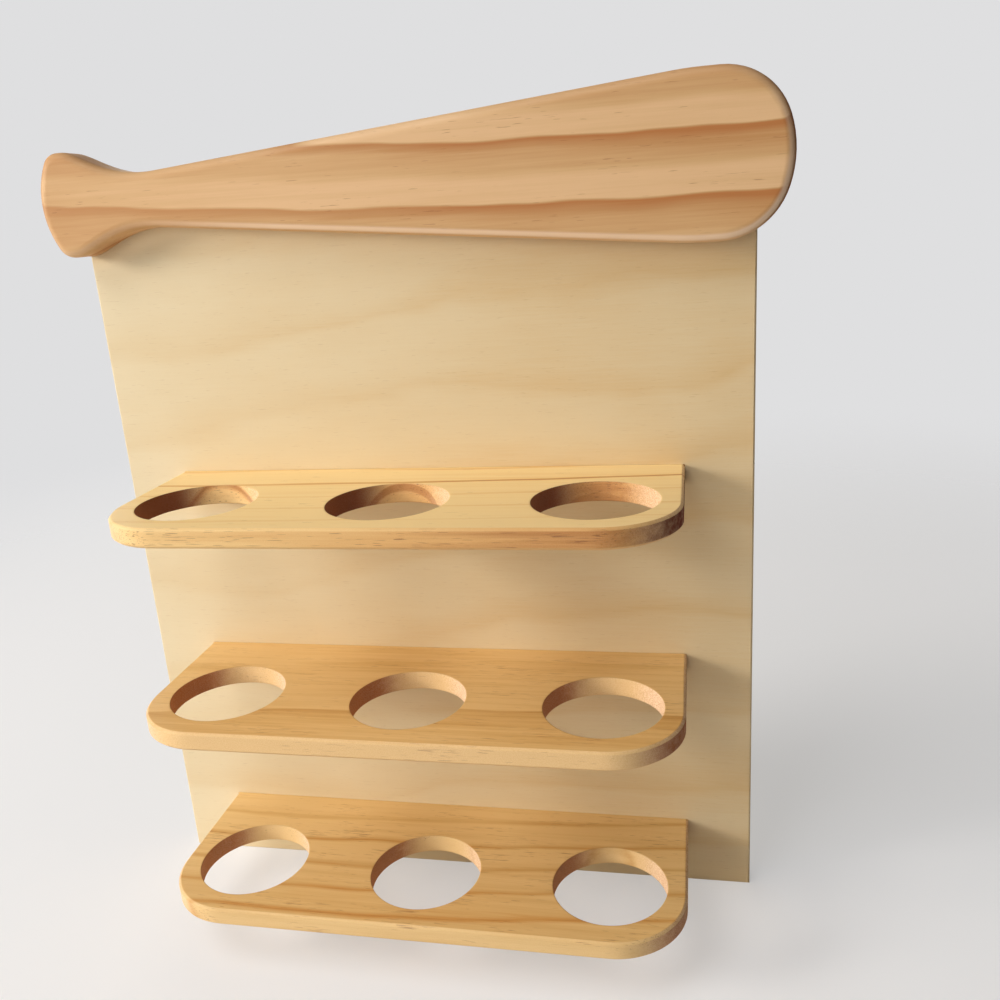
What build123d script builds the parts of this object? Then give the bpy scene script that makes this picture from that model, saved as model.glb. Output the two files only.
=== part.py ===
from build123d import *
import math
import os

# Wall rack that displays balls: a plywood backboard, three drilled shelves and a flat topper cut to
# the outline of a bat. The shelves are glued into stopped housings, the topper is screwed on from
# behind, and the rack hangs on two keyhole hangers let in flush with the back face, so nothing but
# wood shows from the front.
# Millimetres. The origin is the centre of the backboard's back face, the face that lies on the wall.
# +X is to the right as seen from the front, +Y into the wall and +Z up.

# Backboard
board_width = 349
board_height = 400
board_thickness = 12
board_edge_ease = 0.8

# Shelves: three alike, each height is that of the top face above the backboard's bottom edge
lower_shelf_height = 41
middle_shelf_height = 145.5
upper_shelf_height = 252
shelf_length = 280
shelf_depth = 102
shelf_thickness = 10
shelf_corner_radius = 37.5
shelf_edge_ease = 1.2
shelf_housing_depth = 4  # of the grooves in the backboard that take the shelves' back edges

# Ball holes: a ball rests in the rim of a round hole that is smaller than the ball
balls_per_shelf = 3
ball_hole_diameter = 60
ball_hole_pitch = 100
ball_hole_setback = 60  # from the backboard's face to the centres of the holes

# Bat topper: its long axis is level, and lengths along it run from the knob's end
bat_length = 377
bat_thickness = 18
bat_axis_drop = 1  # below the backboard's top edge
bat_overhang = 12.5  # of the knob's end past the backboard's left edge
bat_roundover = 5  # cutter radius on the front edge
bat_back_ease = 1.5
knob_width = 52
knob_end_radius = 44
knob_corner_radius = 8.5  # more than the cutter's radius, so that it can turn
knob_flat = 7  # the stretch of full width behind the knob's corner
knob_sweep = 10.5  # how far the knob's level side carries on into its flank
handle_start = 66
handle_width = 27.8
handle_sweep = 28.5  # how far the handle's taper carries back into the knob's flank
barrel_width = 75
barrel_length = 47  # from the end of the taper to the end of the bat
barrel_blend_radius = 160
barrel_end_radius = 50
barrel_corner_radius = 32

# Wood screws with countersunk heads of 90 degrees
screw_diameter = 3.5
screw_head_diameter = 7
screw_sink = 0.3  # of the heads under the back face
screw_fit = 0.05  # room around a screw in its hole
screw_tip_room = 1
bat_screw_cover = 5  # wood left in front of the tip
bat_screw_drop = 10  # below the backboard's top edge
bat_screw_inset = 14  # of the outer screws from the backboard's sides

# Keyhole hangers: steel strips let into the back face
hanger_length = 50
hanger_width = 16
hanger_thickness = 2
hanger_sink = 0.2
hanger_fit = 0.2
hanger_inset = 50  # of the hangers' centre lines from the backboard's sides
hanger_drop = 46  # of their centres below the backboard's top edge
keyhole_diameter = 9.5
keyhole_slot_width = 4.5
keyhole_rise = 9
keyhole_drop = 4.5  # of the round part below the hanger's centre
pocket_margin = 1.8  # room around the keyhole behind the strip, for the head of the wall screw
pocket_floor = 4  # wood left in front of the pocket
hanger_screw_diameter = 3
hanger_screw_head_diameter = 6
hanger_screw_pitch = 37
hanger_screw_cover = 2
hanger_screw_sink = 0.1

# Places worked out from the sizes above
board_front = -board_thickness
board_top = board_height / 2
board_bottom = -board_height / 2
ball_hole_radius = ball_hole_diameter / 2
screw_radius = screw_diameter / 2
screw_head_radius = screw_head_diameter / 2
hanger_screw_radius = hanger_screw_diameter / 2
hanger_screw_head_radius = hanger_screw_head_diameter / 2
hanger_x = board_width / 2 - hanger_inset
hanger_z = board_top - hanger_drop
mortise_depth = hanger_sink + hanger_thickness
bat_screw_z = board_top - bat_screw_drop
bat_screw_x = board_width / 2 - bat_screw_inset
bat_screw_places = [(x, bat_screw_z) for x in (-bat_screw_x, 0, bat_screw_x)]


def drill_place(x, z, depth):
    """A drilling place at (x, z), depth in front of the back face, drilled towards the front."""
    return Plane(origin=(x, -depth, z), x_dir=(-1, 0, 0), z_dir=(0, 1, 0))


def facing_front(x, z, depth):
    """A drawing plane at (x, z), depth in front of the back face, seen from the front."""
    return Plane(origin=(x, -depth, z), x_dir=(1, 0, 0), z_dir=(0, -1, 0))


def shelf_level(height):
    """Z of a shelf's underside, from the height of its top face above the backboard's bottom edge."""
    return board_bottom + height - shelf_thickness


def hanger_screw_places(side):
    """One screw above and one below the keyhole of the hanger on the given side, -1 or 1."""
    return [(side * hanger_x, hanger_z + end * hanger_screw_pitch / 2) for end in (-1, 1)]


def write(builder, label):
    builder.part.label = label
    export_step(builder.part, f"parts/{label}.step")


os.makedirs("parts", exist_ok=True)
shelf_heights = {
    "shelf_lower": lower_shelf_height,
    "shelf_middle": middle_shelf_height,
    "shelf_upper": upper_shelf_height,
}

# Backboard: a housing for each shelf in front, and behind it countersinks for the bat's screws, with
# a mortise, a pocket and pilot holes for each hanger
pocket_width = keyhole_diameter + 2 * pocket_margin
pocket_length = pocket_width + keyhole_rise
housing_places = [(0, shelf_level(height) + shelf_thickness / 2) for height in shelf_heights.values()]
with BuildPart() as backboard:
    with BuildSketch(Plane.XZ):
        Rectangle(board_width, board_height)
    extrude(amount=board_thickness)
    front_and_back = backboard.faces().filter_by(Axis.Y)
    chamfer(front_and_back.edges(), board_edge_ease)
    with BuildSketch(Plane.XZ.offset(board_thickness - shelf_housing_depth)):
        with Locations(*housing_places):
            Rectangle(shelf_length, shelf_thickness)
    extrude(amount=shelf_housing_depth, mode=Mode.SUBTRACT)
    with Locations(*[drill_place(x, z, 0) for x, z in bat_screw_places]):
        CounterSinkHole(
            screw_radius + screw_fit,
            screw_head_radius + screw_sink + screw_fit,
            counter_sink_angle=90,
        )
    with BuildSketch(Plane.XZ):
        with Locations((-hanger_x, hanger_z), (hanger_x, hanger_z)):
            Rectangle(hanger_width + 2 * hanger_fit, hanger_length + 2 * hanger_fit)
    extrude(amount=mortise_depth, mode=Mode.SUBTRACT)
    with BuildSketch(Plane.XZ):
        pocket_z = hanger_z - keyhole_drop + keyhole_rise / 2
        with Locations((-hanger_x, pocket_z), (hanger_x, pocket_z)):
            Rectangle(pocket_width, pocket_length)
    extrude(amount=board_thickness - pocket_floor, mode=Mode.SUBTRACT)
    pilot_places = hanger_screw_places(-1) + hanger_screw_places(1)
    with Locations(*[drill_place(x, z, mortise_depth) for x, z in pilot_places]):
        Hole(
            hanger_screw_radius + screw_fit,
            depth=board_thickness - hanger_screw_cover / 2 - mortise_depth,
        )
write(backboard, "backboard")


def drilled_shelf(height):
    """One shelf: round front corners, eased edges, a row of ball holes and a back edge left square."""
    level = shelf_level(height)
    with BuildPart() as shelf:
        with BuildSketch(Plane((0, board_front, level))) as outline:
            Rectangle(shelf_length, shelf_depth, align=(Align.CENTER, Align.MAX))
            fillet(outline.vertices().group_by(Axis.Y)[0], shelf_corner_radius)
        extrude(amount=shelf_thickness)
        flat_faces = shelf.faces().filter_by(Axis.Z)
        front_and_ends = flat_faces.edges().filter_by(
            lambda edge: edge.center().Y < board_front - shelf_edge_ease
        )
        chamfer(front_and_ends, shelf_edge_ease)
        with BuildSketch(Plane((0, board_front, level))):
            Rectangle(shelf_length, shelf_housing_depth, align=(Align.CENTER, Align.MIN))
        extrude(amount=shelf_thickness)
        with BuildSketch(Plane((0, board_front - ball_hole_setback, level))):
            with GridLocations(ball_hole_pitch, 0, balls_per_shelf, 1):
                Circle(ball_hole_radius)
        extrude(amount=shelf_thickness, mode=Mode.SUBTRACT)
    return shelf


for shelf_name, shelf_height in shelf_heights.items():
    write(drilled_shelf(shelf_height), shelf_name)


def end_depth(radius, half_width):
    """How far an arched end of the given radius stands out past its own corners."""
    return radius - math.sqrt(radius**2 - half_width**2)


# Bat topper: half the outline is drawn above the axis and mirrored below it
bat_z = board_top - bat_axis_drop
bat_knob_end = -board_width / 2 - bat_overhang
knob_half = knob_width / 2
barrel_half = barrel_width / 2
knob_corner = Vector(end_depth(knob_end_radius, knob_half), knob_half)
flank_start = knob_corner + Vector(knob_flat, 0)
handle_end = Vector(handle_start, handle_width / 2)
taper_end = Vector(bat_length - barrel_length, barrel_half)
taper = (taper_end - handle_end).normalized()
barrel_corner = Vector(bat_length - end_depth(barrel_end_radius, barrel_half), barrel_half)
with BuildPart() as bat_topper:
    with BuildSketch(facing_front(bat_knob_end, bat_z, board_thickness)) as bat_outline:
        with BuildLine():
            RadiusArc((0, 0), knob_corner, knob_end_radius)
            Line(knob_corner, flank_start)
            Bezier(
                flank_start,
                flank_start + Vector(knob_sweep, 0),
                handle_end - taper * handle_sweep,
                handle_end,
            )
            Line(handle_end, taper_end)
            Line(taper_end, barrel_corner)
            RadiusArc(barrel_corner, (bat_length, 0), barrel_end_radius)
            mirror(about=Plane.XZ)
        make_face()
        for corner, corner_radius in (
            (knob_corner, knob_corner_radius),
            (taper_end, barrel_blend_radius),
            (barrel_corner, barrel_corner_radius),
        ):
            fillet(
                bat_outline.vertices().filter_by_position(Axis.X, corner.X - 0.01, corner.X + 0.01),
                corner_radius,
            )
    extrude(amount=bat_thickness)
    front_and_back = bat_topper.faces().filter_by(Axis.Y).sort_by(Axis.Y)
    fillet(front_and_back[0].edges(), bat_roundover)
    chamfer(bat_topper.faces().filter_by(Axis.Y).sort_by(Axis.Y)[-1].edges(), bat_back_ease)
    bat_screw_grip = bat_thickness - bat_screw_cover
    with Locations(*[drill_place(x, z, board_thickness) for x, z in bat_screw_places]):
        Hole(screw_radius + screw_fit, depth=bat_screw_grip + screw_tip_room)
write(bat_topper, "bat_topper")


def countersunk_screw(length, radius, head_radius):
    """A screw along -Y with the flat of its head at the origin, as a smooth pin with a blunt end."""
    with BuildPart() as screw:
        with BuildSketch(Plane.XY):
            with BuildLine():
                Polyline(
                    (0, 0),
                    (head_radius, 0),
                    (radius, radius - head_radius),
                    (radius, -length),
                    (0, -length),
                    close=True,
                )
            make_face()
        revolve(axis=Axis.Y)
    return screw.part


def screw_group(screw, places, sink):
    """The same screw at each place, its head sink below the back face."""
    with BuildPart() as group:
        with Locations(*[(x, -sink, z) for x, z in places]):
            add(screw)
    return group


bat_screw = countersunk_screw(
    board_thickness + bat_screw_grip - screw_sink, screw_radius, screw_head_radius
)
write(screw_group(bat_screw, bat_screw_places, screw_sink), "bat_screws")


def keyhole_hanger(side):
    """A steel strip with a keyhole, narrow end up, and a countersunk hole near each end."""
    with BuildPart() as hanger:
        with BuildSketch(facing_front(side * hanger_x, hanger_z, hanger_sink)):
            Rectangle(hanger_width, hanger_length)
            with Locations((0, -keyhole_drop)):
                Circle(keyhole_diameter / 2, mode=Mode.SUBTRACT)
                Rectangle(
                    keyhole_slot_width,
                    keyhole_rise,
                    align=(Align.CENTER, Align.MIN),
                    mode=Mode.SUBTRACT,
                )
            with Locations((0, keyhole_rise - keyhole_drop)):
                Circle(keyhole_slot_width / 2, mode=Mode.SUBTRACT)
        extrude(amount=hanger_thickness)
        with Locations(*[drill_place(x, z, hanger_sink) for x, z in hanger_screw_places(side)]):
            CounterSinkHole(
                hanger_screw_radius + screw_fit,
                hanger_screw_head_radius + hanger_screw_sink + screw_fit,
                counter_sink_angle=90,
            )
    return hanger


hanger_screw_depth = hanger_sink + hanger_screw_sink  # of the heads under the back face
hanger_screw = countersunk_screw(
    board_thickness - hanger_screw_cover - hanger_screw_depth,
    hanger_screw_radius,
    hanger_screw_head_radius,
)
for side_name, side in {"left": -1, "right": 1}.items():
    write(keyhole_hanger(side), f"hanger_{side_name}")
    write(
        screw_group(hanger_screw, hanger_screw_places(side), hanger_screw_depth),
        f"hanger_{side_name}_screws",
    )
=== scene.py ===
import math

import bmesh
import bpy
from mathutils import Matrix, Vector


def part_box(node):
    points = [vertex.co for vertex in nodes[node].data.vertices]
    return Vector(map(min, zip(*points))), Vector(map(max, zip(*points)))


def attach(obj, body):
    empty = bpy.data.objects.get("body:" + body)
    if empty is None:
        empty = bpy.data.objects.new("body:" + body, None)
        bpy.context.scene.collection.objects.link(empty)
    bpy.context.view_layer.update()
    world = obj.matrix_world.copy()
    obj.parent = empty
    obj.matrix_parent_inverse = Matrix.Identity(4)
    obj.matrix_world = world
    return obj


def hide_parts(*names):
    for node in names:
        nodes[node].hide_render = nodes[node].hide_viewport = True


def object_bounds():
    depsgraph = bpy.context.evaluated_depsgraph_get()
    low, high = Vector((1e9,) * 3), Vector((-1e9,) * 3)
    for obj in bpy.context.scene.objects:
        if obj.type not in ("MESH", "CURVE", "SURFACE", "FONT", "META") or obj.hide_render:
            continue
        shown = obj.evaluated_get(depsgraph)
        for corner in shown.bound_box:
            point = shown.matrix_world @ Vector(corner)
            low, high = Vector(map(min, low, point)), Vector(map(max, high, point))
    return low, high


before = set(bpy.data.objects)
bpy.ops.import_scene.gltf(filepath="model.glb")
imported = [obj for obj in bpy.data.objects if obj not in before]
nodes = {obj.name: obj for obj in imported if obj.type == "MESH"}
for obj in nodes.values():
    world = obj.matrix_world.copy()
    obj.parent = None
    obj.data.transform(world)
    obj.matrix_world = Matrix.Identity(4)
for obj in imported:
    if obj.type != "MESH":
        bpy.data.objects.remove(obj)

# Wall rack for nine balls: a plywood backboard, three drilled pine shelves and a pine bat along the top
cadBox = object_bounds()
floorHeight = cadBox[0][2]
millimetre = 0.001
noiseSpan = (0.3, 0.7)  # most of a noise lies between these
inMillimetres = {"operation": "SCALE", "Scale": 1 / millimetre}  # for a Vector Math node
rangeSockets = {"from": (1, 2), "to": (3, 4)}  # of a Map Range node, for its low and high ends
print("frame loaded:", len(nodes), "nodes")


def toLinear(hexColour):
    channels = [int(hexColour[i:i + 2], 16) / 255 for i in (0, 2, 4)]
    bend = [c / 12.92 if c <= 0.04045 else ((c + 0.055) / 1.055) ** 2.4 for c in channels]
    return (*bend, 1)


def addNode(tree, kind, settings=None, links=None):
    node = tree.nodes.new("ShaderNode" + kind)
    for key, value in (settings or {}).items():
        if key == "stops":  # a colour ramp's places and colours
            for number, (place, colour) in enumerate(value):
                stop = node.color_ramp.elements[number] if number < 2 else node.color_ramp.elements.new(place)
                stop.position = place
                stop.color = toLinear(colour)
        elif key in rangeSockets:
            for socket, end in zip(rangeSockets[key], value):
                node.inputs[socket].default_value = end
        elif isinstance(key, int) or key[0].isupper():  # a socket, by number or by name
            node.inputs[key].default_value = value
        else:
            setattr(node, key, value)
    for key, source in (links or {}).items():
        tree.links.new(source, node.inputs[key])
    return node.outputs


def newMaterial(name):
    material = bpy.data.materials.new(name)
    material.use_nodes = True
    material.node_tree.nodes.clear()
    return material, material.node_tree


def give(piece, material):
    piece.data.materials.clear()
    piece.data.materials.append(material)


# Noise drawn out along the grain, its length and width given in mm
def grainNoise(tree, point, seed, size, detail=1, roughness=0.5):
    length, width = size
    scale = (1 / length, 1 / width, 1 / width)
    drawn = addNode(tree, "Mapping", {"Location": seed, "Scale": scale}, {0: point})[0]
    settings = {"Scale": 1, "Detail": detail, "Roughness": roughness}
    return addNode(tree, "TexNoise", settings, {"Vector": drawn})


# Radiata pine, planed along the grain, its arrises sanded round, under a satin clear varnish.
# To the eye: honey wood with soft bands that darken slowly and end sharply, fine level fibres,
# short dark resin dashes, darker porous ends and a low, even sheen.
pineWood = {
    "fibre": (38, 0.7),  # mm long and wide, coarser than real fibres, so that they show
    "streak": (110, 4),
    "drift": (120, 55),  # slow changes of tone
    "dash": (10, 0.4),
    "patch": (45, 9),  # where dashes gather
    "dashBlur": 0.04,
    "pore": 0.5,  # mm, coarser than real pores, so that they show
    "poreSpan": (0.35, 0.62),  # from pores to the wood between them
    "endTurn": (0.3, 0.95),  # how far a face turns to the side, where the ends of the grain begin to show
    "bat": (-180, 180),  # places along the rack, in mm to the right of its middle
    "knobAndGrip": (-180, -40),
    "grip": (-130, -60),
    "shelf": (-140, 140),
    "shelfEnd": (108, 135),
    "shelfFront": (-100, -60),  # in mm into the wall
    "holePitch": 100,
    "holeRadius": 30,
    "brownStreaks": 0.9,  # how far streaks break up the browned stretch of a hole
    "brownBlur": 1.1,
    "endStreaks": {"from": (0.3, 0.6), "to": (0.8, 1.1)},  # and the browned end
    "lookingRight": (0.2, 0.8),  # how far a face turns to the right, where the scorch and painted shade set in
    "planed": (0.2, 0.7),  # how nearly a face lies in the board's flat, where the brown gives out
    "arrisBand": [(0.5, "000000"), (0.985, "000000"), (0.72, "FFFFFF"), (0.9, "FFFFFF")],  # edge to flat
    "downToUp": (-0.3, 0.3),  # how far an edge looks up
    "knobLitShare": 0.25,  # at the knob, as a share of the pale edge elsewhere; less there as painted shade
    "relief": 0.1,
    "sheen": (0.48, 0.58),
    "endSheen": 0.85,  # the ends soak up the varnish
}


# Growth rings round the pith, a line outside the board that climbs and bows along it
def growthRings(tree, point, axes, board):
    wander = grainNoise(tree, point, board["seed"], board["wanderSize"], detail=2, roughness=0.45)["Color"]
    bending = {"operation": "MULTIPLY_ADD", 1: board["bow"], 2: board["slope"]}
    climb = addNode(tree, "Math", bending, {0: axes[0]})[0]
    climb = addNode(tree, "Math", {"operation": "MULTIPLY"}, {0: climb, 1: axes[0]})[0]
    climb = addNode(tree, "VectorMath", {"operation": "SCALE", 0: (0, *board["climbs"])}, {"Scale": climb})[0]
    section = addNode(tree, "CombineXYZ", {}, {1: axes[1], 2: axes[2]})[0]
    section = addNode(tree, "VectorMath", {"operation": "SUBTRACT"}, {0: section, 1: climb})[0]
    wandering = {"operation": "MULTIPLY_ADD", 1: (0, board["wander"], board["wander"])}
    section = addNode(tree, "VectorMath", wandering, {0: wander, 2: section})[0]
    fromPith = {"operation": "DISTANCE", 1: (0, *board["pith"])}
    distance = addNode(tree, "VectorMath", fromPith, {0: section})["Value"]
    growth = {"operation": "MULTIPLY_ADD", 1: 1 / board["ringWidth"], 2: board["ringStart"]}
    age = addNode(tree, "Math", growth, {0: distance})[0]

    season = addNode(tree, "Math", {"operation": "FRACT"}, {0: age})[0]
    seasonStops = [(0, "000000"), (1, "000000")] + board["season"]
    late = addNode(tree, "ValToRGB", {"stops": seasonStops}, {0: season})[0]
    year = addNode(tree, "Math", {"operation": "FLOOR"}, {0: age})[0]
    yearTone = addNode(tree, "TexWhiteNoise", {"noise_dimensions": "1D"}, {"W": year})["Value"]
    yearTone = addNode(tree, "MapRange", {"to": (board["weakYear"], 1)}, {0: yearTone})[0]
    late = addNode(tree, "Math", {"operation": "MULTIPLY"}, {0: late, 1: yearTone})[0]
    alongTone = addNode(tree, "MapRange", {"from": pineWood["bat"], "to": board["lateWood"]}, {0: axes[0]})[0]
    return addNode(tree, "Math", {"operation": "MULTIPLY"}, {0: late, 1: alongTone})[0]


# Browned wood on the sawn faces that look right: the holes' left walls and the boards' right ends; partly
# cutter scorch, partly painted shade, as only faces turned away from the lamps get it
def scorchAndPaintedShade(tree, axes, facing, flatness, streak, board):
    turnPerMm = math.tau / pineWood["holePitch"]
    turning = {"operation": "MULTIPLY_ADD", 1: turnPerMm, 2: turnPerMm * pineWood["holeRadius"]}
    turn = addNode(tree, "Math", turning, {0: axes[0]})[0]
    turn = addNode(tree, "Math", {"operation": "COSINE"}, {0: turn})[0]
    ragged = {"operation": "MULTIPLY_ADD", 1: pineWood["brownStreaks"]}
    turn = addNode(tree, "Math", ragged, {0: streak, 2: turn})[0]
    start = board["scorchAndShadeFrom"]
    holes = {"from": (start, start + pineWood["brownBlur"]), "to": (0, board["scorchAndShade"])}
    scorchAndShade = addNode(tree, "MapRange", holes, {0: turn})[0]
    streaky = addNode(tree, "MapRange", pineWood["endStreaks"], {0: streak})[0]
    ending = {"from": pineWood["shelfEnd"], "to": (0, board["endScorchAndShade"])}
    rightEnd = addNode(tree, "MapRange", ending, {0: axes[0]})[0]
    adding = {"operation": "MULTIPLY_ADD", "use_clamp": True}
    scorchAndShade = addNode(tree, "Math", adding, {0: rightEnd, 1: streaky, 2: scorchAndShade})[0]
    # Only faces that look right, away from the lamps, darken: painted shade
    turned = {"from": pineWood["lookingRight"], "interpolation_type": "SMOOTHSTEP"}
    turned = addNode(tree, "MapRange", turned, {0: facing[0]})[0]
    scorchAndShade = addNode(tree, "Math", {"operation": "MULTIPLY"}, {0: scorchAndShade, 1: turned})[0]
    sawn = addNode(tree, "MapRange", {"from": pineWood["planed"], "to": (1, 0)}, {0: flatness})[0]
    return addNode(tree, "Math", {"operation": "MULTIPLY"}, {0: scorchAndShade, 1: sawn})[0]


# Arrises paler where the rounded edge turns between a flat face and a sawn one: partly sanded wood, partly a
# painted highlight, strongest on edges that look down and held back at the knob as painted shade
def paleArrisAndHighlight(tree, axes, facing, rounded, board):
    wornAndLit = addNode(tree, "VectorMath", {"operation": "DOT_PRODUCT", 1: board["face"]}, {0: rounded})["Value"]
    wornAndLit = addNode(tree, "Math", {"operation": "ABSOLUTE"}, {0: wornAndLit})[0]
    wornAndLit = addNode(tree, "ValToRGB", {"stops": pineWood["arrisBand"]}, {0: wornAndLit})[0]
    rubbedAndLit = addNode(tree, "MapRange", {"from": pineWood["downToUp"], "to": board["wornAndLit"]}, {0: facing[2]})[0]
    wornAndLit = addNode(tree, "Math", {"operation": "MULTIPLY"}, {0: wornAndLit, 1: rubbedAndLit})[0]
    shadedKnob = {"from": pineWood["grip"], "to": (pineWood["knobLitShare"], 1)}
    shadedKnob = addNode(tree, "MapRange", shadedKnob, {0: axes[0]})[0]
    return addNode(tree, "Math", {"operation": "MULTIPLY"}, {0: wornAndLit, 1: shadedKnob})[0]


def pineMaterial(name, board):
    material, tree = newMaterial(name)
    place = addNode(tree, "TexCoord")
    point = addNode(tree, "VectorMath", inMillimetres, {0: place["Object"]})[0]
    axes = addNode(tree, "SeparateXYZ", {}, {0: point})
    facing = addNode(tree, "SeparateXYZ", {}, {0: place["Normal"]})
    sideways = addNode(tree, "Math", {"operation": "ABSOLUTE"}, {0: facing[0]})[0]
    forward = addNode(tree, "Math", {"operation": "ABSOLUTE"}, {0: facing[1]})[0]
    flatness = {"operation": "DOT_PRODUCT", 1: board["face"]}
    flatness = addNode(tree, "VectorMath", flatness, {0: place["Normal"]})["Value"]
    flatness = addNode(tree, "Math", {"operation": "ABSOLUTE"}, {0: flatness})[0]
    seed = board["seed"]

    # Tone: the rings, level streaks and fibres and a slow drift, and then what changes along the board
    fibre = grainNoise(tree, point, seed, pineWood["fibre"], detail=3, roughness=0.6)[0]
    streak = grainNoise(tree, point, seed, pineWood["streak"], detail=3, roughness=0.55)[0]
    drift = grainNoise(tree, point, seed, pineWood["drift"])[0]
    tone = growthRings(tree, point, axes, board)
    for noise, share in ((streak, board["streaks"]), (drift, board["drift"]), (fibre, board["fibres"])):
        tone = addNode(tree, "Math", {"operation": "MULTIPLY_ADD", 1: share}, {0: noise, 2: tone})[0]
    middle = (board["streaks"] + board["drift"] + board["fibres"]) / 2  # what the three add on average
    tone = addNode(tree, "Math", {"operation": "SUBTRACT", 1: middle}, {0: tone})[0]
    leftTone = {"from": pineWood["knobAndGrip"], "to": (board["leftTone"], 0)}
    leftTone = addNode(tree, "MapRange", leftTone, {0: axes[0]})[0]
    tone = addNode(tree, "Math", {"operation": "ADD"}, {0: tone, 1: leftTone})[0]
    frontTone = {"from": pineWood["shelfFront"], "to": (board["frontTone"], 0)}
    frontTone = addNode(tree, "MapRange", frontTone, {0: axes[1]})[0]
    tone = addNode(tree, "Math", {"operation": "ADD"}, {0: tone, 1: frontTone})[0]
    edgeTone = {"from": pineWood["shelf"], "to": board["edgeTone"]}
    edgeTone = addNode(tree, "MapRange", edgeTone, {0: axes[0]})[0]
    tone = addNode(tree, "Math", {"operation": "MULTIPLY_ADD"}, {0: forward, 1: edgeTone, 2: tone})[0]
    colour = addNode(tree, "ValToRGB", {"stops": board["colours"]}, {0: tone})[0]

    # Resin dashes, in patches
    dash = grainNoise(tree, point, seed, pineWood["dash"])[0]
    patch = grainNoise(tree, point, seed, pineWood["patch"])[0]
    for source, share in ((patch, board["patchiness"]), (forward, board["edgeDashes"])):
        dash = addNode(tree, "Math", {"operation": "MULTIPLY_ADD", 1: share}, {0: source, 2: dash})[0]
    start = board["dashFrom"]
    dashes = {"from": (start, start + pineWood["dashBlur"]), "to": (0, board["dashes"])}
    dash = addNode(tree, "MapRange", dashes, {0: dash})[0]
    resin = {"data_type": "RGBA", 7: toLinear(board["resin"])}
    colour = addNode(tree, "Mix", resin, {0: dash, 6: colour})[2]

    # Ends of the grain: pores in place of fibres, browned on faces that look right, partly where the cutter
    # turned back and partly as painted shade
    endGrain = {"from": pineWood["endTurn"], "interpolation_type": "SMOOTHSTEP"}
    endGrain = addNode(tree, "MapRange", endGrain, {0: sideways})[0]
    pore = {"Scale": 1 / pineWood["pore"], "Detail": 2, "Roughness": 0.7}
    pore = addNode(tree, "TexNoise", pore, {"Vector": point})[0]
    poreStops = list(zip(pineWood["poreSpan"], (board["endPore"], board["endWood"])))
    pore = addNode(tree, "ValToRGB", {"stops": poreStops}, {0: pore})[0]
    rawness = addNode(tree, "Math", {"operation": "MULTIPLY", 1: board["rawness"]}, {0: endGrain})[0]
    edgeRawness = {"operation": "MULTIPLY_ADD", 1: board["edgeRawness"]}
    rawness = addNode(tree, "Math", edgeRawness, {0: forward, 2: rawness})[0]
    colour = addNode(tree, "Mix", {"data_type": "RGBA"}, {0: rawness, 6: colour, 7: pore})[2]
    scorchAndShade = scorchAndPaintedShade(tree, axes, facing, flatness, streak, board)
    burntAndShaded = {"data_type": "RGBA", 7: toLinear(board["burntAndShaded"])}
    colour = addNode(tree, "Mix", burntAndShaded, {0: scorchAndShade, 6: colour})[2]

    rounded = addNode(tree, "Bevel", {"samples": 6, "Radius": board["arris"] * millimetre})[0]
    relief = {"Strength": 0.2, "Distance": pineWood["relief"] * millimetre}
    surface = addNode(tree, "Bump", relief, {"Height": fibre, "Normal": rounded})[0]
    # Paler arrises: sanded wood, and a painted highlight on edges that look down
    wornAndLit = paleArrisAndHighlight(tree, axes, facing, rounded, board)
    wornAndLitWood = {"data_type": "RGBA", 7: toLinear(board["wornAndLitWood"])}
    colour = addNode(tree, "Mix", wornAndLitWood, {0: wornAndLit, 6: colour})[2]
    sheen = addNode(tree, "MapRange", {"from": noiseSpan, "to": pineWood["sheen"]}, {0: fibre})[0]
    sheen = addNode(tree, "MapRange", {4: pineWood["endSheen"]}, {0: endGrain, 3: sheen})[0]
    varnished = addNode(
        tree,
        "BsdfPrincipled",
        {"IOR": 1.45, "Specular IOR Level": 0.3},
        {"Base Color": colour, "Roughness": sheen, "Normal": surface},
    )
    addNode(tree, "OutputMaterial", {}, {"Surface": varnished[0]})
    return material


batBoard = {
    "seed": (3.1, 7.4, 1.9),
    "pith": (80, 88),  # mm into the wall and up, in the rack's own frame
    "slope": -0.0463,  # mm that the rings climb per mm to the right
    "bow": 0.000147,  # how much steeper, for each mm
    "climbs": (0, 1),  # the way they climb: into the wall and up
    "ringWidth": 20.8,
    "ringStart": 0.885,  # the count of rings at the pith
    "wander": 5,  # mm that they stray, over bends of this length and width
    "wanderSize": (75, 40),
    "season": [(0.34, "1C1C1C"), (0.50, "9C9C9C"), (0.80, "B8B8B8"), (0.95, "FFFFFF")],  # pale, tan, dark
    "weakYear": 0.85,  # the palest ring's strength
    "lateWood": (0.5, 1.25),  # the dark bands' strength at the rack's left and right ends
    "leftTone": 0.32,  # added at the knob
    "frontTone": 0.0,  # and towards a shelf's front
    "edgeTone": (0.0, 0.0),  # and on its front edge, at the left and right ends
    "streaks": 0.35,
    "fibres": 0.22,
    "drift": 0.2,
    "colours": [(0.0, "E3BB8C"), (0.25, "D6AD7B"), (0.6, "C2905C"), (1.0, "B67744")],
    "dashes": 0.45,
    "dashFrom": 0.975,  # the higher, the fewer
    "patchiness": 0.45,
    "edgeDashes": 0.0,
    "resin": "7E3A10",
    "endWood": "BA7E4C",
    "endPore": "85522E",
    "rawness": 0.75,  # how much the ends of the grain show
    "edgeRawness": 0.0,  # and the front edge
    "burntAndShaded": "7A3A14",
    "scorchAndShade": 0.6,
    "scorchAndShadeFrom": -2.5,  # so low that the whole right end browns, as painted shade as much as scorch
    "endScorchAndShade": 0.0,
    "face": (0, 1, 0),
    "arris": 0.8,
    "wornAndLit": (0.9, 0.1),  # on edges that look down and up
    "wornAndLitWood": "F8DABA",
}
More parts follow.
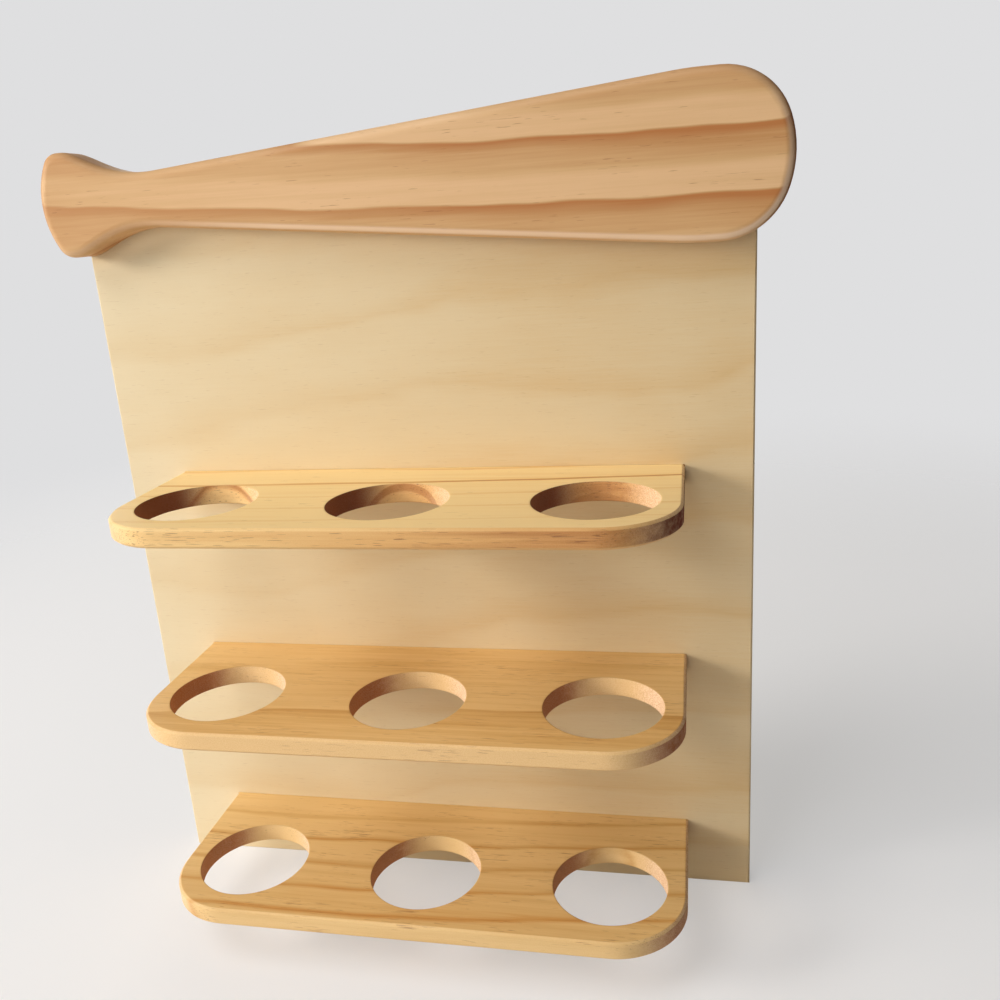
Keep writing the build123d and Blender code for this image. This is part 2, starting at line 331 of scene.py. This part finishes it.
shelfWood = {  # what the three shelves share
    "climbs": (1, 0),
    "leftTone": 0.0,
    "endPore": "CC9A70",
    "rawness": 0.8,
    "face": (0, 0, 1),
    "arris": 1.0,
    "wornAndLit": (0.15, 0.0),
    "wornAndLitWood": "F0CDA4",
}
shelfBoards = {
    "shelf_upper": {
        "seed": (12.7, 2.2, 8.3),
        "pith": (34.5, -3.5),
        "slope": 0.03,
        "bow": 0.0002,
        "ringWidth": 17.8,
        "ringStart": 20.74,
        "wander": 9,
        "wanderSize": (110, 30),
        "season": [(0.60, "181818"), (0.82, "484848"), (0.92, "FFFFFF")],
        "weakYear": 0.0,
        "lateWood": (0.9, 1.4),
        "frontTone": 0.0,
        "edgeTone": (0.25, 1.05),
        "streaks": 0.5,
        "fibres": 0.28,
        "drift": 0.25,
        "colours": [(0.0, "FADC9E"), (0.35, "F0CA88"), (0.7, "DFAC68"), (1.0, "BC8042")],
        "dashes": 0.6,
        "dashFrom": 0.88,
        "patchiness": 0.25,
        "edgeDashes": 0.12,
        "resin": "6E3410",
        "endWood": "FFE0BC",
        "edgeRawness": 0.1,
        "burntAndShaded": "702C0A",
        "scorchAndShade": 0.9,
        "scorchAndShadeFrom": -0.5,
        "endScorchAndShade": 0.5,
    },
    "shelf_middle": {
        "seed": (5.5, 14.2, 3.6),
        "pith": (-235, -85),
        "slope": 0.06,
        "bow": -0.00025,
        "ringWidth": 52,
        "ringStart": 0.88,
        "wander": 10,
        "wanderSize": (70, 30),
        "season": [(0.45, "505050"), (0.85, "A0A0A0"), (0.975, "E0E0E0")],
        "weakYear": 0.25,
        "lateWood": (0.8, 1.0),
        "frontTone": 0.1,
        "edgeTone": (-0.4, -0.4),
        "streaks": 1.0,
        "fibres": 0.5,
        "drift": 0.45,
        "colours": [(0.0, "E8C182"), (0.35, "DBB06E"), (0.7, "CC9A55"), (1.0, "B07A38")],
        "dashes": 0.4,
        "dashFrom": 0.925,
        "patchiness": 0.45,
        "edgeDashes": 0.0,
        "resin": "7E3408",
        "endWood": "FFE4C6",
        "edgeRawness": 0.2,
        "burntAndShaded": "A05218",
        "scorchAndShade": 0.8,
        "scorchAndShadeFrom": 0.2,
        "endScorchAndShade": 0.8,
    },
    "shelf_lower": {
        "seed": (9.3, 5.8, 17.1),
        "pith": (64.5, -195.5),
        "slope": 0.052,
        "bow": 0.00026,
        "ringWidth": 18.6,
        "ringStart": 0.60,
        "wander": 9,
        "wanderSize": (90, 30),
        "season": [(0.45, "202020"), (0.72, "545454"), (0.88, "E8E8E8")],
        "weakYear": 0.2,
        "lateWood": (0.9, 1.0),
        "frontTone": 0.28,
        "edgeTone": (-0.2, -0.2),
        "streaks": 0.8,
        "fibres": 0.45,
        "drift": 0.3,
        "colours": [(0.0, "E8C486"), (0.35, "DCB474"), (0.7, "D09C57"), (1.0, "B87838")],
        "dashes": 0.5,
        "dashFrom": 0.93,
        "patchiness": 0.45,
        "edgeDashes": 0.0,
        "resin": "7E3408",
        "endWood": "FFE4C6",
        "edgeRawness": 0.1,
        "burntAndShaded": "A05218",
        "scorchAndShade": 0.7,
        "scorchAndShadeFrom": 0.2,
        "endScorchAndShade": 0.55,
    },
}
give(nodes["bat_topper"], pineMaterial("varnished radiata pine, bat", batBoard))
for shelfName, shelfBoard in shelfBoards.items():
    give(nodes[shelfName], pineMaterial(f"varnished radiata pine, {shelfName}", {**shelfWood, **shelfBoard}))
print("pine boards finished")


# Pine plywood, five plies with sanded rotary-cut faces, under the same varnish.
# To the eye: a calm pale sheet with broad smudged level figure, and a striped edge.
plywoodSheet = {
    "seed": (21.4, 6.6, 2.5),
    "plies": 5,
    "thickness": 12,
    "bandHeight": 46,
    "bandClimb": 0.085,  # mm per mm to the right
    "bandWander": 0.8,  # of a band's height
    "wanderSize": (170, 60),
    "band": [(0.5, "303030"), (0.86, "FFFFFF")],  # its darkness, from its top down
    "bandShare": 0.2,
    "smudge": (130, 40),
    "smudges": 0.5,
    "fibre": (22, 0.9),  # coarser than real fibres, so that they show
    "fibres": 0.22,
    "rightwardToneAndShade": 0.0011,  # tone gained per mm to the right: partly the veneer's own, partly painted shade of the light's falloff
    "toneSpan": (0.1, 0.9),
    "colours": [(0.0, "E6D5B0"), (0.4, "E2CDA4"), (0.75, "DCC090"), (1.0, "D6B47E")],
    "sideFace": 0.5,  # how far a side edge turns sideways, at the least
    "flatFace": 0.6,  # and a flat face forward or back
    "endPly": "A77F52",
    "pore": 0.5,  # coarser than real pores, so that they show
    "poreTone": (0.5, 1.0),
    "glue": "6E4F30",
    "glueLine": (0, 0.07),  # half of it, in plies
    "glueTone": 0.7,
    "dash": (6, 0.5),
    "dashSpan": (0.68, 0.78),
    "dashes": 0.18,
    "resin": "A67C4E",
    "arris": 0.6,
    "relief": 0.1,
    "sheen": (0.5, 0.6),
}


def plywoodMaterial(name, sheet):
    material, tree = newMaterial(name)
    place = addNode(tree, "TexCoord")
    point = addNode(tree, "VectorMath", inMillimetres, {0: place["Object"]})[0]
    axes = addNode(tree, "SeparateXYZ", {}, {0: point})
    facing = addNode(tree, "SeparateXYZ", {}, {0: place["Normal"]})
    seed = sheet["seed"]

    # Rotary-cut figure: broad bands that climb to the right, wander, and end a little sharper below
    climbing = {"operation": "MULTIPLY_ADD", 1: -sheet["bandClimb"]}
    climb = addNode(tree, "Math", climbing, {0: axes[0], 2: axes[2]})[0]
    wander = grainNoise(tree, point, seed, sheet["wanderSize"], detail=3, roughness=0.45)[0]
    wander = addNode(tree, "Math", {"operation": "MULTIPLY", 1: 2 * sheet["bandWander"]}, {0: wander})[0]
    counting = {"operation": "MULTIPLY_ADD", 1: -1 / sheet["bandHeight"]}
    figure = addNode(tree, "Math", counting, {0: climb, 2: wander})[0]
    figure = addNode(tree, "Math", {"operation": "FRACT"}, {0: figure})[0]
    bandStops = [(0, "000000"), (1, "000000")] + sheet["band"]
    figure = addNode(tree, "ValToRGB", {"stops": bandStops}, {0: figure})[0]
    fibre = grainNoise(tree, point, seed, sheet["fibre"], detail=3, roughness=0.6)[0]
    smudge = grainNoise(tree, point, seed, sheet["smudge"], detail=3, roughness=0.6)[0]
    tone = addNode(tree, "Math", {"operation": "MULTIPLY", 1: sheet["bandShare"]}, {0: figure})[0]
    # The last share darkens the sheet towards the right, partly as painted shade
    for source, share in ((smudge, sheet["smudges"]), (fibre, sheet["fibres"]), (axes[0], sheet["rightwardToneAndShade"])):
        tone = addNode(tree, "Math", {"operation": "MULTIPLY_ADD", 1: share}, {0: source, 2: tone})[0]
    tone = addNode(tree, "MapRange", {"from": sheet["toneSpan"]}, {0: tone})[0]
    veneer = addNode(tree, "ValToRGB", {"stops": sheet["colours"]}, {0: tone})[0]

    # Edges: the plies take turns to show their ends, with a thin glue line between them
    plyPerMm = sheet["plies"] / sheet["thickness"]
    layer = addNode(tree, "Math", {"operation": "MULTIPLY", 1: -plyPerMm}, {0: axes[1]})[0]
    layerNumber = addNode(tree, "Math", {"operation": "FLOOR"}, {0: layer})[0]
    crossPly = addNode(tree, "Math", {"operation": "FLOORED_MODULO", 1: 2}, {0: layerNumber})[0]
    sideways = addNode(tree, "Math", {"operation": "ABSOLUTE"}, {0: facing[0]})[0]
    sideways = addNode(tree, "Math", {"operation": "GREATER_THAN", 1: sheet["sideFace"]}, {0: sideways})[0]
    endPly = addNode(tree, "Math", {"operation": "SUBTRACT"}, {0: crossPly, 1: sideways})[0]
    endPly = addNode(tree, "Math", {"operation": "ABSOLUTE"}, {0: endPly})[0]
    pore = {"Scale": 1 / sheet["pore"], "Detail": 2, "Roughness": 0.7}
    pore = addNode(tree, "TexNoise", pore, {"Vector": point})[0]
    pore = addNode(tree, "MapRange", {"from": noiseSpan, "to": sheet["poreTone"]}, {0: pore})[0]
    endPly = addNode(tree, "Math", {"operation": "MULTIPLY"}, {0: endPly, 1: pore})[0]
    plyEnds = {"data_type": "RGBA", 7: toLinear(sheet["endPly"])}
    edge = addNode(tree, "Mix", plyEnds, {0: endPly, 6: veneer})[2]
    joint = addNode(tree, "Math", {"operation": "PINGPONG", 1: 0.5}, {0: layer})[0]
    glueLine = {"from": sheet["glueLine"], "to": (sheet["glueTone"], 0)}
    joint = addNode(tree, "MapRange", glueLine, {0: joint})[0]
    glue = {"data_type": "RGBA", 7: toLinear(sheet["glue"])}
    edge = addNode(tree, "Mix", glue, {0: joint, 6: edge})[2]
    flat = addNode(tree, "Math", {"operation": "ABSOLUTE"}, {0: facing[1]})[0]
    flat = addNode(tree, "Math", {"operation": "GREATER_THAN", 1: sheet["flatFace"]}, {0: flat})[0]
    colour = addNode(tree, "Mix", {"data_type": "RGBA"}, {0: flat, 6: edge, 7: veneer})[2]

    dash = grainNoise(tree, point, seed, sheet["dash"])[0]
    dashes = {"from": sheet["dashSpan"], "to": (0, sheet["dashes"])}
    dash = addNode(tree, "MapRange", dashes, {0: dash})[0]
    resin = {"data_type": "RGBA", 7: toLinear(sheet["resin"])}
    colour = addNode(tree, "Mix", resin, {0: dash, 6: colour})[2]
    rounded = addNode(tree, "Bevel", {"samples": 6, "Radius": sheet["arris"] * millimetre})[0]
    relief = {"Strength": 0.2, "Distance": sheet["relief"] * millimetre}
    surface = addNode(tree, "Bump", relief, {"Height": fibre, "Normal": rounded})[0]
    sheen = addNode(tree, "MapRange", {"from": noiseSpan, "to": sheet["sheen"]}, {0: fibre})[0]
    varnished = addNode(
        tree,
        "BsdfPrincipled",
        {"IOR": 1.45, "Specular IOR Level": 0.35},
        {"Base Color": colour, "Roughness": sheen, "Normal": surface},
    )
    addNode(tree, "OutputMaterial", {}, {"Surface": varnished[0]})
    return material


give(nodes["backboard"], plywoodMaterial("varnished pine plywood", plywoodSheet))
print("backboard finished")


# Zinc-plated mild steel, stamped from brushed strip and turned for the screws.
# To the eye: a soft grey shine drawn out along the strip, and a yellow cast on the screws.
platingSet = {"cloud": 6, "sheen": (0.28, 0.42), "arris": 0.15, "relief": 0.02}  # sizes in mm
hangerFinish = {"brushSize": (0.12, 1, 8), "dull": "A9AAA8", "bright": "C4C4C0"}
screwFinish = {"brushSize": (0.3, 1, 0.3), "dull": "B79A55", "bright": "D6BF7E"}


def platedSteel(name, finish):
    material, tree = newMaterial(name)
    place = addNode(tree, "TexCoord")["Object"]
    point = addNode(tree, "VectorMath", inMillimetres, {0: place})[0]
    brush = addNode(tree, "Mapping", {"Scale": [1 / size for size in finish["brushSize"]]}, {0: point})[0]
    brush = addNode(tree, "TexNoise", {"Scale": 1, "Detail": 3}, {"Vector": brush})[0]
    cloud = addNode(tree, "TexNoise", {"Scale": 1 / platingSet["cloud"], "Detail": 2}, {"Vector": point})[0]
    cloudStops = list(zip(noiseSpan, (finish["dull"], finish["bright"])))
    colour = addNode(tree, "ValToRGB", {"stops": cloudStops}, {0: cloud})[0]
    sheen = addNode(tree, "MapRange", {"from": noiseSpan, "to": platingSet["sheen"]}, {0: brush})[0]
    rounded = addNode(tree, "Bevel", {"samples": 6, "Radius": platingSet["arris"] * millimetre})[0]
    relief = {"Strength": 0.15, "Distance": platingSet["relief"] * millimetre}
    surface = addNode(tree, "Bump", relief, {"Height": brush, "Normal": rounded})[0]
    links = {"Base Color": colour, "Roughness": sheen, "Normal": surface}
    metal = addNode(tree, "BsdfPrincipled", {"Metallic": 1.0}, links)
    addNode(tree, "OutputMaterial", {}, {"Surface": metal[0]})
    return material


hangerSteel = platedSteel("brushed zinc-plated steel", hangerFinish)
screwSteel = platedSteel("yellow zinc-plated steel", screwFinish)
for side in ("left", "right"):
    give(nodes[f"hanger_{side}"], hangerSteel)
print("hangers finished")

# Wood screws with cross recesses, in mm: each stands where its plain pin stands in the frame
screwSet = {
    "sides": 24,
    "ringsPerTurn": 6,
    "core": 0.66,  # of the shank's radius
    "ridge": 0.5,  # of the pitch, at its foot
    "plainShank": 0.3,  # of the length, under the head
    "point": 4,
    "rim": 0.2,  # the worn edge of the head
    "slotWidth": 0.15,  # of the head's radius, as the recess's other sizes are
    "slotReach": 0.56,
    "slotDepth": 0.5,
    "slotFloor": 0.45,  # how much of the recess's outline is left at its floor
}
screwKinds = {
    "bat_screws": {"count": 3, "shank": 1.75, "pitch": 1.5},
    "hanger_left_screws": {"count": 2, "shank": 1.5, "pitch": 1.3},
    "hanger_right_screws": {"count": 2, "shank": 1.5, "pitch": 1.3},
}


def turnScrew(metal, place, length, headRadius, kind):
    shank, pitch = kind["shank"], kind["pitch"]
    sides = screwSet["sides"]
    step = pitch / screwSet["ringsPerTurn"]

    def ring(depth, radiusAt):
        corners = []
        for number in range(sides):
            angle = math.tau * number / sides
            radius = radiusAt(number / sides)
            x, z = radius * math.cos(angle), radius * math.sin(angle)
            corners.append(metal.verts.new(place + Vector((x, -depth, z)) * millimetre))
        return corners

    def threadRadius(depth, turn):
        fromCrest = abs((depth / pitch - turn) % 1 - 0.5)
        ridge = max(0, 1 - fromCrest / (screwSet["ridge"] / 2))
        taper = min(1, (length - depth) / screwSet["point"])
        core = shank * screwSet["core"]
        return (core + (shank - core) * ridge) * taper

    coneDepth = headRadius - shank
    plainDepth = length * screwSet["plainShank"]
    face = ring(0, lambda turn: headRadius - screwSet["rim"])
    rings = [
        face,
        ring(screwSet["rim"], lambda turn: headRadius),
        ring(coneDepth, lambda turn: shank),
        ring(plainDepth, lambda turn: shank),
    ]
    turns = int((length - plainDepth) / step)
    for number in range(1, turns):
        depth = plainDepth + number * step
        rings.append(ring(depth, lambda turn: threadRadius(depth, turn)))
    for upper, lower in zip(rings, rings[1:]):
        for number in range(sides):
            following = (number + 1) % sides
            strip = metal.faces.new((upper[number], upper[following], lower[following], lower[number]))
            strip.smooth = True
    metal.faces.new(reversed(rings[-1]))

    # Cross recess: its outline in the head's face, and a smaller one at its floor
    width, reach = screwSet["slotWidth"] * headRadius, screwSet["slotReach"] * headRadius
    quarter = [(width, width), (width, reach), (-width, reach)]
    outline = []
    for number in range(4):
        turn = Matrix.Rotation(math.pi / 2 * number, 2)
        outline += [turn @ Vector(corner) for corner in quarter]
    edgeLoop, floorLoop = (
        [metal.verts.new(place + Vector((x * size, -depth, z * size)) * millimetre) for x, z in outline]
        for depth, size in ((0, 1), (screwSet["slotDepth"] * headRadius, screwSet["slotFloor"]))
    )
    corners = len(outline)
    for number in range(corners):
        following = (number + 1) % corners
        metal.faces.new((edgeLoop[number], edgeLoop[following], floorLoop[following], floorLoop[number]))
    metal.faces.new(reversed(floorLoop))
    loops = []
    for loop in (face, edgeLoop):
        loops += [metal.edges.get((a, b)) for a, b in zip(loop, loop[1:] + loop[:1])]
    bmesh.ops.triangle_fill(metal, use_beauty=True, edges=loops)


def makeScrews(node, kind):
    low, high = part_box(node)
    headRadius = min(high.x - low.x, high.z - low.z) / 2
    inset = Vector((headRadius, 0, headRadius))
    first, last = low + inset, high - inset
    first.y = last.y = high.y
    metal = bmesh.new()
    for number in range(kind["count"]):
        place = first.lerp(last, number / (kind["count"] - 1))
        turnScrew(metal, place, (high.y - low.y) / millimetre, headRadius / millimetre, kind)
    bmesh.ops.recalc_face_normals(metal, faces=metal.faces)
    mesh = bpy.data.meshes.new(node)
    metal.to_mesh(mesh)
    metal.free()
    piece = bpy.data.objects.new(f"{node}_threaded", mesh)
    bpy.context.scene.collection.objects.link(piece)
    give(piece, screwSteel)
    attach(piece, "root")
    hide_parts(node)


for screwNode, screwKind in screwKinds.items():
    makeScrews(screwNode, screwKind)
print("screws turned")

# Floor: a pale matt disc that fades out before it could show a horizon
floorSet = {
    "radius": 1.6,
    "corners": 96,
    "fade": (0.4, 1.4),  # starts and ends this far out
    "roughness": 0.9,
    "colour": "F2F1F0",
    "paleness": 0.45,
    "pale": "F4F4F4",
}


def makeFloor():
    sheet = bmesh.new()
    bmesh.ops.create_circle(sheet, cap_ends=True, radius=floorSet["radius"], segments=floorSet["corners"])
    mesh = bpy.data.meshes.new("floor")
    sheet.to_mesh(mesh)
    sheet.free()
    floor = bpy.data.objects.new("floor", mesh)
    floor.location.z = floorHeight
    bpy.context.scene.collection.objects.link(floor)
    material, tree = newMaterial("matt paper floor")
    place = addNode(tree, "TexCoord")["Object"]
    distance = addNode(tree, "VectorMath", {"operation": "LENGTH"}, {0: place})["Value"]
    fade = {"from": floorSet["fade"], "interpolation_type": "SMOOTHSTEP"}
    fade = addNode(tree, "MapRange", fade, {0: distance})[0]
    matt = {"Base Color": toLinear(floorSet["colour"]), "Roughness": floorSet["roughness"]}
    paper = addNode(tree, "BsdfPrincipled", matt)[0]
    seen = addNode(tree, "LightPath")["Is Camera Ray"]
    seen = addNode(tree, "Math", {"operation": "MULTIPLY", 1: floorSet["paleness"]}, {0: seen})[0]
    pale = addNode(tree, "Emission", {"Color": toLinear(floorSet["pale"])})[0]
    paper = addNode(tree, "MixShader", {}, {0: seen, 1: paper, 2: pale})[0]
    under = addNode(tree, "NewGeometry")["Backfacing"]  # open to a look from below
    gone = addNode(tree, "Math", {"operation": "MAXIMUM"}, {0: fade, 1: under})[0]
    clear = addNode(tree, "BsdfTransparent")[0]
    surface = addNode(tree, "MixShader", {}, {0: gone, 1: paper, 2: clear})[0]
    addNode(tree, "OutputMaterial", {}, {"Surface": surface})
    give(floor, material)


makeFloor()

# Light: a soft key on the left, a broad lamp overhead, a low fill in front, a weak one behind,
# and an even sky
lamps = {
    "key": {"place": (-2.0, -0.95, 0.7), "size": 0.7, "power": 36, "colour": "FFF9F2"},
    "top": {"place": (-0.7, -0.9, 1.7), "size": 1.2, "power": 17, "colour": "FCFCFF"},
    "fill": {"place": (-0.7, -1.6, 0.25), "size": 0.9, "power": 7.2, "colour": "FFFFFF"},
    "back": {"place": (-0.7, 1.6, 0.1), "size": 1.2, "power": 14, "colour": "FFFFFF"},
}
skySet = {"colour": "FFEEDC", "strength": 0.08, "background": "DFDFE0"}


def makeLight():
    for name, setting in lamps.items():
        lamp = bpy.data.lights.new(name, "AREA")
        lamp.shape = "DISK"
        lamp.size = setting["size"]
        lamp.energy = setting["power"]
        lamp.color = toLinear(setting["colour"])[:3]
        light = bpy.data.objects.new(name, lamp)
        light.location = setting["place"]
        light.rotation_euler = (-light.location).to_track_quat("-Z", "Y").to_euler()
        bpy.context.scene.collection.objects.link(light)

    world = bpy.data.worlds.new("studio")
    bpy.context.scene.world = world
    world.use_nodes = True
    tree = world.node_tree
    tree.nodes.clear()
    ray = addNode(tree, "LightPath")
    seen = ray["Is Camera Ray"]
    for kind in ("Is Glossy Ray", "Is Transmission Ray"):
        seen = addNode(tree, "Math", {"operation": "MAXIMUM"}, {0: seen, 1: ray[kind]})[0]
    sky = {"Color": toLinear(skySet["colour"]), "Strength": skySet["strength"]}
    sky = addNode(tree, "Background", sky)[0]
    backdrop = {"Color": toLinear(skySet["background"]), "Strength": 1.0}
    backdrop = addNode(tree, "Background", backdrop)[0]
    shown = addNode(tree, "MixShader", {}, {0: seen, 1: sky, 2: backdrop})[0]
    addNode(tree, "OutputWorld", {}, {"Surface": shown})


makeLight()

# Camera: where the photograph was taken from, close and from above on the right
cameraSet = {
    "place": (0.1443, -0.4860, 0.1786),
    "aim": (0.0424, -0.012, 0.0336),
    "roll": -3.92,
    "lens": 33.92,
    "nearest": 0.01,
}


def makeCamera():
    camera = bpy.data.objects.new("camera", bpy.data.cameras.new("camera"))
    camera.data.lens = cameraSet["lens"]
    camera.data.clip_start = cameraSet["nearest"]
    turn = (Vector(cameraSet["aim"]) - Vector(cameraSet["place"])).to_track_quat("-Z", "Y").to_matrix()
    turn = turn @ Matrix.Rotation(math.radians(cameraSet["roll"]), 3, "Z")
    camera.matrix_world = Matrix.Translation(cameraSet["place"]) @ turn.to_4x4()
    bpy.context.scene.collection.objects.link(camera)
    bpy.context.scene.camera = camera


makeCamera()
bpy.context.scene.view_settings.view_transform = "Standard"
print("floor, light and camera set")
